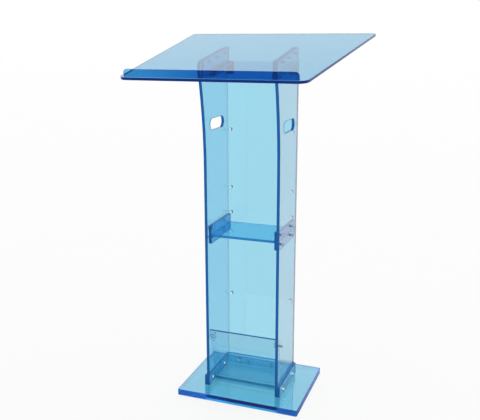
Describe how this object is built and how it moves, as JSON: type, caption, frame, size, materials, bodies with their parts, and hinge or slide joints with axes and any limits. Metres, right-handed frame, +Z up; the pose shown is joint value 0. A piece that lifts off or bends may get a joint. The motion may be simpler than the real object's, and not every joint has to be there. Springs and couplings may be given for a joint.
{
  "type": "presentation lectern",
  "caption": "Free-standing tinted clear-sheet lectern with a sloping reading desk, a slim open-fronted column, a shelf, a document pocket and a flat base plate.",
  "frame": {"origin": "centre of the base plate's underside, on the floor", "axes": "+Z up, the speaker stands on the -Y side, +X to the speaker's right"},
  "size_m": [0.6826, 0.6942, 1.2263],
  "materials": {
    "tinted_acrylic": "transparent blue cast acrylic, polished faces and edges",
    "stainless_steel": "bright stainless"
  },
  "bodies": {
    "root": {"base_plate": "tinted_acrylic", "left_side_panel": "tinted_acrylic", "right_side_panel": "tinted_acrylic", "back_panel": "tinted_acrylic", "reading_desk": "tinted_acrylic", "desk_lip": "tinted_acrylic", "left_desk_bracket": "tinted_acrylic", "right_desk_bracket": "tinted_acrylic", "shelf_plate": "tinted_acrylic", "left_shelf_end_plate": "tinted_acrylic", "right_shelf_end_plate": "tinted_acrylic", "pocket_front_sheet": "tinted_acrylic", "pocket_floor": "tinted_acrylic", "pocket_end_blocks": "tinted_acrylic", "left_base_rail": "tinted_acrylic", "right_base_rail": "tinted_acrylic", "rear_base_rail": "tinted_acrylic", "corner_clips": "tinted_acrylic", "desk_bracket_screws": "stainless_steel", "desk_bracket_cap_nuts": "stainless_steel", "shelf_screws": "stainless_steel", "shelf_cap_nuts": "stainless_steel", "pocket_screws": "stainless_steel", "pocket_cap_nuts": "stainless_steel", "side_rail_screws": "stainless_steel", "side_rail_cap_nuts": "stainless_steel", "rear_rail_screws": "stainless_steel", "rear_rail_cap_nuts": "stainless_steel", "corner_clip_screws": "stainless_steel", "corner_clip_cap_nuts": "stainless_steel", "bracket_tab_screws": "stainless_steel", "bracket_tab_cap_nuts": "stainless_steel", "base_screws": "stainless_steel"}
  },
  "joints": []
}
